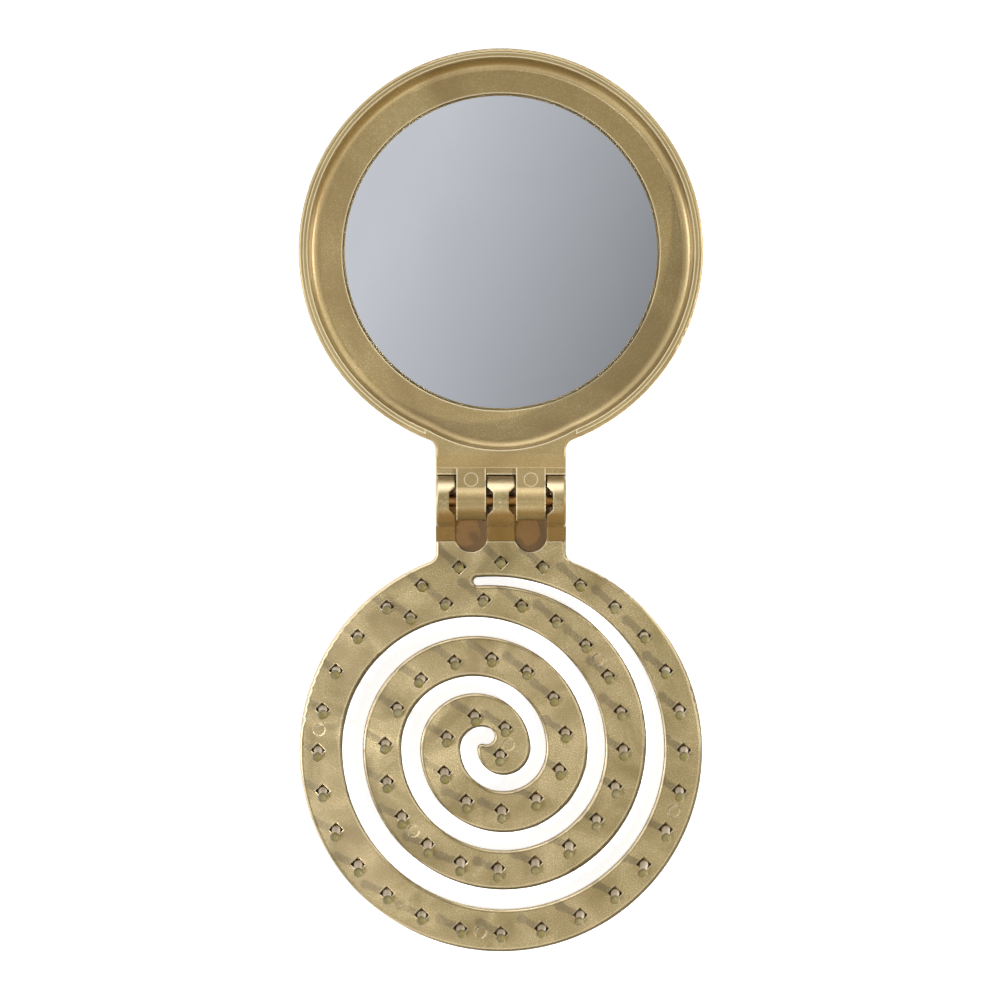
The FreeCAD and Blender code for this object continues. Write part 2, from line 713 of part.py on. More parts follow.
pieces = [
    build_front_plate(),
    build_back_cover(),
    build_hinge_pin(),
    build_bristles("bristles_outer_ring", ring_places),
    build_bristles("bristles_second_turn", second_turn_places),
    build_bristles("bristles_inner_turn", inner_turn_places),
    build_lid_shell(),
    build_mirror_adhesive(),
    build_mirror_glass(),
]
doc.recompute()
for item in doc.Objects:
    if "Invalid" in item.State or "Error" in item.State:
        raise RuntimeError(f"{item.Name} failed: {item.State}")
os.makedirs("parts", exist_ok=True)
for piece in pieces:
    shape = piece.Shape
    if shape.isNull() or not shape.isValid():
        raise RuntimeError(f"{piece.Label} has no valid shape")
    shape.exportStep(f"parts/{piece.Label}.step")
    print(piece.Label, len(shape.Solids), round(shape.Volume, 2))
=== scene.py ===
import logging
import math
from dataclasses import dataclass
from enum import Enum
from typing import Any

import bpy
import numpy as np
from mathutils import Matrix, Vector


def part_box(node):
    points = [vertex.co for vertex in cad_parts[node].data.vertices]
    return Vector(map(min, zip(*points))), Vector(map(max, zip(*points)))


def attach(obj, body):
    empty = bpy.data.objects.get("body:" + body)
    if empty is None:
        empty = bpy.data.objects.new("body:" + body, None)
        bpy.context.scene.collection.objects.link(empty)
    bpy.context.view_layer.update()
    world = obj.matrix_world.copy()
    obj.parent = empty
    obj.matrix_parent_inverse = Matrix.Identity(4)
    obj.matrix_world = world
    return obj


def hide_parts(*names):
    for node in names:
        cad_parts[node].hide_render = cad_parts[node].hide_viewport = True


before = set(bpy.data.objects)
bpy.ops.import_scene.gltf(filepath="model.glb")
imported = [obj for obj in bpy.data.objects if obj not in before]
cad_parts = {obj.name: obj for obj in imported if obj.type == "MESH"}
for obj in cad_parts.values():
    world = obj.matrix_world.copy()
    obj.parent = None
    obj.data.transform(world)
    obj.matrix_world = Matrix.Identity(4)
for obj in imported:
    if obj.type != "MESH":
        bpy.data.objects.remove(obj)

# A pocket hair brush that folds under a mirror lid, lying open on its back. Lengths are in metres, X runs
# across, Y from the brush towards the lid and Z up, with the hinge axis above the origin.

LOG = logging.getLogger("hair_brush")
MM = 0.001

Point = tuple[float, float, float]
Span = tuple[float, float]
Colour = tuple[float, float, float, float]
Socket = bpy.types.NodeSocket


def display_colour(red: int, green: int, blue: int) -> Colour:
    """Linear colour of a display colour, by the standard sRGB curve.

    Args:
        red: Red part, from 0 to 255.
        green: Green part, from 0 to 255.
        blue: Blue part, from 0 to 255.

    Returns:
        The colour as red, green, blue and alpha.
    """
    share = np.array((red, green, blue)) / 255
    linear = np.where(share <= 0.04045, share / 12.92, ((share + 0.055) / 1.055) ** 2.4)
    return (*linear.tolist(), 1.0)


class Graph:
    """A node tree with short ways to add nodes and to set or link their sockets."""

    def __init__(self, tree: bpy.types.NodeTree) -> None:
        """Keeps the tree that nodes are added to."""
        self.tree = tree

    def add(self, kind: str, inputs: dict[Any, Any] | None = None, **settings: Any) -> bpy.types.Node:
        """Adds a node.

        Args:
            kind: The node's type, without the leading "ShaderNode".
            inputs: Values or output sockets for the node's inputs, by name or number.
            settings: Properties of the node itself.

        Returns:
            The new node.
        """
        name = kind if kind.startswith("Node") else "ShaderNode" + kind
        node = self.tree.nodes.new(name)
        for key, value in settings.items():
            setattr(node, key, value)
        for key, value in (inputs or {}).items():
            self.feed(node.inputs[key], value)
        return node

    def feed(self, socket: Socket, value: Any) -> None:
        """Links an output to the socket, or sets the socket to a plain value.

        Args:
            socket: An input of a node.
            value: An output socket, or a plain value.
        """
        if isinstance(value, bpy.types.NodeSocket):
            self.tree.links.new(value, socket)
        else:
            socket.default_value = value

    def place(self) -> Socket:
        """Point of the surface, in the object's own coordinates."""
        return self.add("TexCoord").outputs["Object"]

    def facing(self) -> Socket:
        """Normal of the surface, in the object's own coordinates."""
        return self.add("TexCoord").outputs["Normal"]

    def level(self, vector: Socket) -> Socket:
        """Upward part of a vector."""
        return self.add("SeparateXYZ", {"Vector": vector}).outputs["Z"]

    def dot(self, vector: Socket, way: Point) -> Socket:
        """Length of a vector along a given way."""
        return self.add("VectorMath", {0: vector, 1: way}, operation="DOT_PRODUCT").outputs["Value"]

    def noise(self, place: Socket, scale: Any, detail: float, swirl: Any = 0.0) -> Socket:
        """Noise over the surface.

        Args:
            place: Coordinates that the noise reads.
            scale: Number of features in a metre.
            detail: Number of finer layers.
            swirl: How far the pattern is drawn out by itself.

        Returns:
            The noise's value, around 0.5.
        """
        inputs = {"Vector": place, "Scale": scale, "Detail": detail, "Distortion": swirl}
        return self.add("TexNoise", inputs).outputs["Fac"]

    def spread(self, value: Any, low: Any, high: Any, to_low: Any = 0.0, to_high: Any = 1.0) -> Socket:
        """Value carried from one range to another and kept inside it."""
        inputs = {"Value": value, "From Min": low, "From Max": high, "To Min": to_low, "To Max": to_high}
        return self.add("MapRange", inputs).outputs["Result"]

    def between(self, share: Any, first: Any, second: Any) -> Socket:
        """Value between two values, at a share of the way."""
        return self.spread(share, 0.0, 1.0, first, second)

    def maths(self, operation: str, first: Any, second: Any) -> Socket:
        """Result of one arithmetic step on two values."""
        return self.add("Math", {0: first, 1: second}, operation=operation).outputs["Value"]

    def times(self, first: Any, second: Any) -> Socket:
        """Product of two values."""
        return self.maths("MULTIPLY", first, second)

    def blend(self, share: Any, first: Any, second: Any) -> Socket:
        """Colour between two colours, at a share of the way; the Mix node's colour sockets go by number."""
        return self.add("Mix", {0: share, 6: first, 7: second}, data_type="RGBA").outputs[2]

    def bump(self, height: Socket, distance: float) -> Socket:
        """Normal of a surface that is raised by a share of a distance."""
        return self.add("Bump", {"Height": height, "Strength": 1.0, "Distance": distance}).outputs["Normal"]


class Effect(Enum):
    """Surface effects that finishes share, each a node group."""

    PEARL_FLOW = "pearl_flow"
    FINE_GRAIN = "fine_grain"
    EDGE_HIGHLIGHT = "painted_edge_highlight"
    EDGE_LIGHT_SHADE = "painted_edge_light_shade"
    RECESS_SHADE = "painted_recess_shade"


def open_group(effect: Effect, inputs: tuple[str, ...], outputs: tuple[str, ...]) -> tuple[Graph, Any, Any]:
    """Starts an empty node group, whose sockets are all plain numbers.

    Args:
        effect: The effect that the group makes.
        inputs: Names of its inputs, which each material sets.
        outputs: Names of its outputs.

    Returns:
        The group's graph, the sockets that bring its inputs and the sockets that take its outputs.
    """
    tree = bpy.data.node_groups.new(effect.value, "ShaderNodeTree")
    for name in inputs:
        tree.interface.new_socket(name, in_out="INPUT", socket_type="NodeSocketFloat")
    for name in outputs:
        tree.interface.new_socket(name, in_out="OUTPUT", socket_type="NodeSocketFloat")
    graph = Graph(tree)
    return graph, graph.add("NodeGroupInput").outputs, graph.add("NodeGroupOutput").inputs


@dataclass(frozen=True)
class PearlFlow:
    """Cloudy flow of pearl pigment in moulded plastic, and its bright flakes."""

    flow_detail: float = 4.0
    flow_span: Span = (0.32, 0.68)
    slow_share: float = 0.55
    slow_detail: float = 3.0
    slow_span: Span = (0.48, 0.72)
    flake_detail: float = 1.0
    flake_span: Span = (0.5, 0.75)
    gather_span: Span = (0.35, 0.65)
    gather_least: float = 0.25

    def build(self) -> bpy.types.NodeTree:
        """Makes the group.

        Returns:
            A group with the outputs Flow, a slow swirl, Blush, a slower one, and Flakes, bright specks that
            gather where the flow is light.
        """
        graph, taken, given = open_group(
            Effect.PEARL_FLOW, ("Flow scale", "Swirl", "Flake scale"), ("Flow", "Blush", "Flakes"))
        place = graph.place()
        swirl = graph.noise(place, taken["Flow scale"], self.flow_detail, taken["Swirl"])
        graph.feed(given["Flow"], graph.spread(swirl, *self.flow_span))
        slow_scale = graph.times(taken["Flow scale"], self.slow_share)
        slow = graph.noise(place, slow_scale, self.slow_detail, taken["Swirl"])
        graph.feed(given["Blush"], graph.spread(slow, *self.slow_span))
        flakes = graph.spread(graph.noise(place, taken["Flake scale"], self.flake_detail), *self.flake_span)
        gathered = graph.spread(swirl, *self.gather_span, self.gather_least, 1.0)
        graph.feed(given["Flakes"], graph.times(flakes, gathered))
        return graph.tree


@dataclass(frozen=True)
class FineGrain:
    """Fine skin of a moulded surface."""

    detail: float = 2.0

    def build(self) -> bpy.types.NodeTree:
        """Makes the group.

        Returns:
            A group with the output Height.
        """
        graph, taken, given = open_group(Effect.FINE_GRAIN, ("Grain scale",), ("Height",))
        graph.feed(given["Height"], graph.noise(graph.place(), taken["Grain scale"], self.detail))
        return graph.tree


@dataclass(frozen=True)
class PaintedEdgeHighlight:
    """Painted highlight: a pale line along outer edges, standing in for the light that a moulding's small
    edge radius catches.
    """

    samples: int = 8
    behind_span: Span = (0.9, 0.65)

    def build(self) -> bpy.types.NodeTree:
        """Makes the group.

        Returns:
            A group with the output Edge, 1 where another face lies close behind a face: the mask of the
            painted highlight along outer edges.
        """
        graph, taken, given = open_group(Effect.EDGE_HIGHLIGHT, ("Edge radius",), ("Edge",))
        behind = graph.add("AmbientOcclusion", {"Distance": taken["Edge radius"]}, samples=self.samples,
                           inside=True, only_local=True).outputs["AO"]
        graph.feed(given["Edge"], graph.spread(behind, *self.behind_span))
        return graph.tree


@dataclass(frozen=True)
class PaintedTurnLight:
    """Painted highlight and painted shade on faces that roll away: pale where a face turns to the far left,
    dark where it turns to the near right, by a fixed way in the object's own frame.
    """

    samples: int = 8
    painted_light_way: Point = (-0.75, 0.66, 0.0)
    upward_span: Span = (0.05, 0.3)
    level_step: float = 0.1 * MM
    wide_span: Span = (0.18, 0.34)
    thin_span: Span = (0.03, 0.07)
    thin_end: Span = (0.12, 0.22)
    thin_share: float = 0.55

    def build(self) -> bpy.types.NodeTree:
        """Makes the group.

        Returns:
            A group with two outputs, the painted highlight and the painted shade, on faces that look up. Up
            to a given level, a thin line of the other one lies beside each of them.
        """
        graph, taken, given = open_group(Effect.EDGE_LIGHT_SHADE, ("Round radius", "Line level"), ("PaintedHighlight", "PaintedShade"))
        rounded = graph.add("Bevel", {"Radius": taken["Round radius"]}, samples=self.samples).outputs
        own = graph.add("VectorTransform", {"Vector": rounded["Normal"]}, vector_type="NORMAL",
                        convert_from="WORLD", convert_to="OBJECT").outputs["Vector"]
        # Painted light comes from a fixed way in the object's own frame: faces turned along it get the
        # painted highlight, faces turned away the painted shade.
        turn = graph.dot(own, self.painted_light_way)
        upward = graph.spread(graph.level(graph.facing()), *self.upward_span)
        above = graph.maths("SUBTRACT", graph.level(graph.place()), taken["Line level"])
        lined = graph.spread(above, 0.0, self.level_step, 1.0, 0.0)
        for name, way in (("PaintedHighlight", 1.0), ("PaintedShade", -1.0)):
            wide = graph.spread(graph.times(turn, way), *self.wide_span)
            away = graph.times(turn, -way)
            thin = graph.times(lined, graph.spread(away, *self.thin_span))
            past = graph.spread(away, *self.thin_end, self.thin_share, 0.0)
            share = graph.maths("MAXIMUM", wide, graph.times(thin, past))
            graph.feed(given[name], graph.times(share, upward))
        return graph.tree


@dataclass(frozen=True)
class PaintedRecessShade:
    """Painted shade in holes, slots and inside corners: a mask of how little sky reaches a face, for a
    brown that stands in for the shade there and for gold reflected in gold.
    """

    samples: int = 8
    upward_span: Span = (0.2, 0.5)
    sky_span: Span = (0.6, 0.15)

    def build(self) -> bpy.types.NodeTree:
        """Makes the group.

        Returns:
            A group with two masks of painted shade: one that is 1 where little of the sky reaches a face,
                and one
            that is 1 on faces that look up from below a given level.
        """
        graph, taken, given = open_group(
            Effect.RECESS_SHADE, ("Reach", "Open level", "Deep level"), ("Depth", "FloorShade"))
        sky = graph.add("AmbientOcclusion", {"Distance": taken["Reach"]}, samples=self.samples,
                        only_local=True).outputs["AO"]
        graph.feed(given["Depth"], graph.spread(sky, *self.sky_span))
        upward = graph.spread(graph.level(graph.facing()), *self.upward_span)
        low = graph.spread(graph.level(graph.place()), taken["Open level"], taken["Deep level"])
        graph.feed(given["FloorShade"], graph.times(low, upward))
        return graph.tree


class Workshop:
    """Holds the shared node groups and starts materials."""

    def __init__(self) -> None:
        """Builds each shared effect once."""
        self.groups = {
            Effect.PEARL_FLOW: PearlFlow().build(),
            Effect.FINE_GRAIN: FineGrain().build(),
            Effect.EDGE_HIGHLIGHT: PaintedEdgeHighlight().build(),
            Effect.EDGE_LIGHT_SHADE: PaintedTurnLight().build(),
            Effect.RECESS_SHADE: PaintedRecessShade().build(),
        }

    def start(self, name: str) -> tuple[Graph, bpy.types.Material, bpy.types.NodeInputs]:
        """Starts a material.

        Args:
            name: The finish's name.

        Returns:
            The material's graph, the material and the inputs of its surface shader.
        """
        material = bpy.data.materials.new(name)
        material.use_nodes = True
        return Graph(material.node_tree), material, material.node_tree.nodes["Principled BSDF"].inputs

    def place(self, graph: Graph, effect: Effect, **values: float) -> bpy.types.NodeOutputs:
        """Puts a shared effect into a material.

        Args:
            graph: The material's graph.
            effect: The effect to place.
            values: Values of its inputs, with underscores for spaces.

        Returns:
            The outputs of the placed group.
        """
        node = graph.add("Group", node_tree=self.groups[effect])
        for name, value in values.items():
            node.inputs[name.replace("_", " ").capitalize()].default_value = value
        return node.outputs


@dataclass(frozen=True)
class Pigment:
    """Golds of a pearl pigment, and the size of its flow and of its flakes."""

    deep: Colour
    light: Colour
    blush: Colour
    glint: Colour
    flow_scale: float
    swirl: float
    blush_share: float
    flake_scale: float
    flake_share: float

    def place(self, graph: Graph, workshop: Workshop) -> bpy.types.NodeOutputs:
        """Puts the pigment's flow into a material."""
        return workshop.place(graph, Effect.PEARL_FLOW, flow_scale=self.flow_scale, swirl=self.swirl,
                              flake_scale=self.flake_scale)

    def colour(self, graph: Graph, flow: bpy.types.NodeOutputs) -> Socket:
        """Two golds mixed by the flow, under blushes and flakes.

        Args:
            graph: The material's graph.
            flow: Outputs of the pigment's flow.

        Returns:
            The colour.
        """
        body = graph.blend(flow["Flow"], self.deep, self.light)
        body = graph.blend(graph.times(flow["Blush"], self.blush_share), body, self.blush)
        return graph.blend(graph.times(flow["Flakes"], self.flake_share), body, self.glint)


@dataclass(frozen=True)
class PaintedHollowShade:
    """Painted shade in brown tones, in inside corners and, where it has a floor, on faces that look up from
    below a level.
    """

    # corner is the colour of the painted shade in inside corners, floor that of the painted shade on low
    # faces.
    corner: Colour
    reach: float
    share: float
    floor: Colour | None = None
    open_level: float = 0.0
    deep_level: float = 0.0

    def tint(self, graph: Graph, workshop: Workshop, body: Socket) -> Socket:
        """Lays the painted shade over a colour.

        Args:
            graph: The material's graph.
            workshop: Holder of the shared effects.
            body: The colour below.

        Returns:
            The tinted colour.
        """
        painted_recess_shade = workshop.place(graph, Effect.RECESS_SHADE, reach=self.reach, open_level=self.open_level,
                                deep_level=self.deep_level)
        body = graph.blend(graph.times(painted_recess_shade["Depth"], self.share), body, self.corner)
        return graph.blend(painted_recess_shade["FloorShade"], body, self.floor) if self.floor else body


@dataclass(frozen=True)
class EdgeHighlightAndGloss:
    """Painted highlight along outer edges, as a pale tone, and the gloss of the same line."""

    # tone is the colour of the painted highlight along the edges.
    tone: Colour
    radius: float
    share: float
    rough: float
    metallic: float


@dataclass(frozen=True)
class PaintedLightAndShade:
    """Colours of the painted highlight and painted shade on faces that roll away, with a browner painted
    shade instead of the dark one above a level.
    """

    # pale is the colour of the painted highlight, dark that of the painted shade below the level and brown
    # that of the painted shade above it.
    pale: Colour
    dark: Colour
    brown: Colour
    radius: float
    share: float
    share_above: float
    level: float = 4.05 * MM
    level_step: float = 0.1 * MM

    def tint(self, graph: Graph, turn: bpy.types.NodeOutputs, body: Socket) -> Socket:
        """Lays the painted shade and the painted highlight over a colour.

        Args:
            graph: The material's graph.
            turn: Outputs of the placed turn of tone.
            body: The colour below.

        Returns:
            The tinted colour.
        """
        above = graph.spread(graph.level(graph.place()), self.level, self.level + self.level_step)
        share = graph.between(above, self.share, self.share_above)
        dark = graph.blend(above, self.dark, self.brown)
        body = graph.blend(graph.times(turn["PaintedShade"], share), body, dark)
        return graph.blend(graph.times(turn["PaintedHighlight"], share), body, self.pale)


@dataclass(frozen=True)
class PearlGold:
    """Moulded plastic with gold pearl pigment under a clear skin."""

    name: str
    pigment: Pigment
    hollows: PaintedHollowShade
    edges: EdgeHighlightAndGloss
    turns: PaintedLightAndShade
    metallic: float
    smooth: float
    rough: float
    grain_scale: float
    grain_height: float
    coat: float
    # Coat weight on the painted shade of faces that roll away, where it differs.
    coat_on_painted_shade: float | None = None
    coat_rough: float = 0.2

    def build(self, workshop: Workshop) -> bpy.types.Material:
        """Makes the material.

        Args:
            workshop: Holder of the shared effects.

        Returns:
            The material: the pigment's golds, painted shade in hollows, a painted highlight along its
                edges,
            painted highlight and painted shade where a face rolls away, and a grain. Where a second coat
            weight is given, the skin thins to it on the painted shade of faces that roll away.
        """
        graph, material, surface = workshop.start(self.name)
        flow = self.pigment.place(graph, workshop)
        line = workshop.place(graph, Effect.EDGE_HIGHLIGHT, edge_radius=self.edges.radius)["Edge"]
        turn = workshop.place(graph, Effect.EDGE_LIGHT_SHADE, round_radius=self.turns.radius,
                              line_level=self.turns.level)
        # Painted shade in hollows over the pigment's colour, then the painted highlight along outer edges,
        # then painted highlight and shade where faces roll away.
        body = self.hollows.tint(graph, workshop, self.pigment.colour(graph, flow))
        body = graph.blend(graph.times(line, self.edges.share), body, self.edges.tone)
        graph.feed(surface["Base Color"], self.turns.tint(graph, turn, body))
        rough = graph.between(flow["Flow"], self.rough, self.smooth)
        graph.feed(surface["Roughness"], graph.between(line, rough, self.edges.rough))
        graph.feed(surface["Metallic"], graph.between(line, self.metallic, self.edges.metallic))
        grain = workshop.place(graph, Effect.FINE_GRAIN, grain_scale=self.grain_scale)
        graph.feed(surface["Normal"], graph.bump(grain["Height"], self.grain_height))
        if self.coat_on_painted_shade is None:
            surface["Coat Weight"].default_value = self.coat
        else:
            graph.feed(surface["Coat Weight"], graph.between(turn["PaintedShade"], self.coat, self.coat_on_painted_shade))
        surface["Coat Roughness"].default_value = self.coat_rough
        return material


@dataclass(frozen=True)
class OliveNylon:
    """Moulded nylon of the bristles, paler along the shaft than at the tip, with a brown painted shade low
    down in its hole.
    """

    name: str
    shaft: Colour
    tip: Colour
    # Colour of the painted shade low down in the hole.
    painted_recess_shade: Colour
    fade_span: Span
    hole_shade_span: Span
    cloud_scale: float = 700.0
    cloud_detail: float = 2.0
    cloud_span: Span = (0.3, 0.7)
    drift: float = 0.25
    rough_span: Span = (0.36, 0.5)
    grain_scale: float = 6000.0
    grain_height: float = 0.004 * MM
    coat: float = 0.08
    coat_rough: float = 0.1

    def build(self, workshop: Workshop) -> bpy.types.Material:
        """Makes the material.

        Args:
            workshop: Holder of the shared effects.

        Returns:
            The material: its colour fades with the height above the table and turns to a painted shade low
                down in the hole.
        """
        graph, material, surface = workshop.start(self.name)
        place = graph.place()
        height = graph.level(place)
        cloud = graph.noise(place, self.cloud_scale, self.cloud_detail)
        drift = graph.between(cloud, -self.drift, self.drift)
        fade = graph.maths("ADD", graph.spread(height, *self.fade_span), drift)
        share = graph.add("Clamp", {"Value": fade}).outputs["Result"]
        body = graph.blend(share, self.shaft, self.tip)
        # Painted shade of the bristle where it stands down in its hole.
        hole_shade = graph.spread(height, *self.hole_shade_span)
        graph.feed(surface["Base Color"], graph.blend(hole_shade, body, self.painted_recess_shade))
        graph.feed(surface["Roughness"], graph.spread(cloud, *self.cloud_span, *self.rough_span))
        grain = workshop.place(graph, Effect.FINE_GRAIN, grain_scale=self.grain_scale)
        graph.feed(surface["Normal"], graph.bump(grain["Height"], self.grain_height))
        surface["Coat Weight"].default_value = self.coat
        surface["Coat Roughness"].default_value = self.coat_rough
        return material


@dataclass(frozen=True)
class DrawnBrass:
    """Brass wire with fine lines along its length."""

    name: str
    bright: Colour
    dull: Colour
    stretch: Point = (0.03, 1.0, 1.0)
    line_scale: float = 9000.0
    line_span: Span = (0.3, 0.7)
    line_height: float = 0.004 * MM
    patch_scale: float = 400.0
    patch_span: Span = (0.4, 0.7)
    detail: float = 3.0
    rough_span: Span = (0.4, 0.6)

    def build(self, workshop: Workshop) -> bpy.types.Material:
        """Makes the material.

        Args:
            workshop: Holder of the shared effects.

        Returns:
            The material: noise drawn out along the wire, with duller patches.
        """
        graph, material, surface = workshop.start(self.name)
        place = graph.place()
        along = graph.add("Mapping", {"Vector": place, "Scale": self.stretch}).outputs["Vector"]
        lines = graph.noise(along, self.line_scale, self.detail)
        patch = graph.spread(graph.noise(place, self.patch_scale, self.detail), *self.patch_span)
        graph.feed(surface["Base Color"], graph.blend(patch, self.bright, self.dull))
        graph.feed(surface["Roughness"], graph.spread(lines, *self.line_span, *self.rough_span))
        graph.feed(surface["Normal"], graph.bump(lines, self.line_height))
        surface["Metallic"].default_value = 1.0
        return material


@dataclass(frozen=True)
class FoamTape:
    """Double-sided foam tape with fine cells."""

    name: str
    pale: Colour
    cell: Colour
    cell_scale: float = 3500.0
    cell_span: Span = (0.45, 0.75)
    cell_height: float = 0.03 * MM
    rough_span: Span = (0.75, 0.95)

    def build(self, workshop: Workshop) -> bpy.types.Material:
        """Makes the material.

        Args:
            workshop: Holder of the shared effects.

        Returns:
            The material: a pale foam with darker cells.
        """
        graph, material, surface = workshop.start(self.name)
        cells = workshop.place(graph, Effect.FINE_GRAIN, grain_scale=self.cell_scale)["Height"]
        share = graph.spread(cells, *self.cell_span)
        graph.feed(surface["Base Color"], graph.blend(share, self.pale, self.cell))
        graph.feed(surface["Roughness"], graph.between(share, *self.rough_span))
        graph.feed(surface["Normal"], graph.bump(cells, self.cell_height))
        return material


@dataclass(frozen=True)
class SilveredGlass:
    """Mirror glass, with a faint haze and specks of dust."""

    name: str
    silver: Colour
    haze: Colour
    haze_scale: float = 45.0
    haze_detail: float = 3.0
    haze_swirl: float = 0.8
    haze_span: Span = (0.35, 0.75)
    rough_span: Span = (0.015, 0.035)
    dust_scale: float = 2600.0
    dust_detail: float = 1.0
    dust_span: Span = (0.7, 0.82)
    dust_rough: float = 0.04

    def build(self, workshop: Workshop) -> bpy.types.Material:
        """Makes the material.

        Args:
            workshop: Holder of the shared effects.

        Returns:
            The material: a clean mirror whose haze changes slowly over it.
        """
        graph, material, surface = workshop.start(self.name)
        place = graph.place()
        cloud = graph.noise(place, self.haze_scale, self.haze_detail, self.haze_swirl)
        haze = graph.spread(cloud, *self.haze_span)
        dust = graph.spread(graph.noise(place, self.dust_scale, self.dust_detail), *self.dust_span)
        graph.feed(surface["Base Color"], graph.blend(haze, self.silver, self.haze))
        rough = graph.between(haze, *self.rough_span)
        graph.feed(surface["Roughness"], graph.maths("ADD", rough, graph.times(dust, self.dust_rough)))
        surface["Metallic"].default_value = 1.0
        return material


def make_object(name: str, points: np.ndarray, faces: list[list[int]], smooth: bool) -> bpy.types.Object:
    """Object at the origin with its place in its mesh.

    Args:
        name: The piece's name.
        points: Corners, one row each.
        faces: Corner numbers of each face.
        smooth: Whether its faces are shaded as one surface.

    Returns:
        The new object, linked to the scene.
    """
    mesh = bpy.data.meshes.new(name)
    mesh.from_pydata(points.tolist(), [], faces)
    mesh.polygons.foreach_set("use_smooth", np.full(len(faces), smooth))
    mesh.update()
    made = bpy.data.objects.new(name, mesh)
    bpy.context.scene.collection.objects.link(made)
    return made


def tube_faces(copies: int, rings: int, around: int) -> list[list[int]]:
    """Faces of closed tubes, each a stack of rings with a pole at both ends.

    Corner numbers run ring by ring up each tube, then come its lower and its upper pole.

    Args:
        copies: Number of tubes.
        rings: Rings in a tube.
        around: Corners in a ring.

    Returns:
        Corner numbers of the quads between rings and of the triangles at the poles, turned outwards.
    """
    each = rings * around + 2
    turn = np.arange(around)
    after = (turn + 1) % around
    low = np.arange(rings - 1)[:, None] * around
    high = low + around
    quads = np.stack([low + turn, low + after, high + after, high + turn], axis=-1).reshape(-1, 4)
    last = (rings - 1) * around
    foot = np.stack([np.full(around, each - 2), after, turn], axis=-1)
    head = np.stack([np.full(around, each - 1), last + turn, last + after], axis=-1)
    start = np.arange(copies)[:, None, None] * each
    all_quads = (quads[None] + start).reshape(-1, 4).tolist()
    return all_quads + (np.concatenate([foot, head])[None] + start).reshape(-1, 3).tolist()


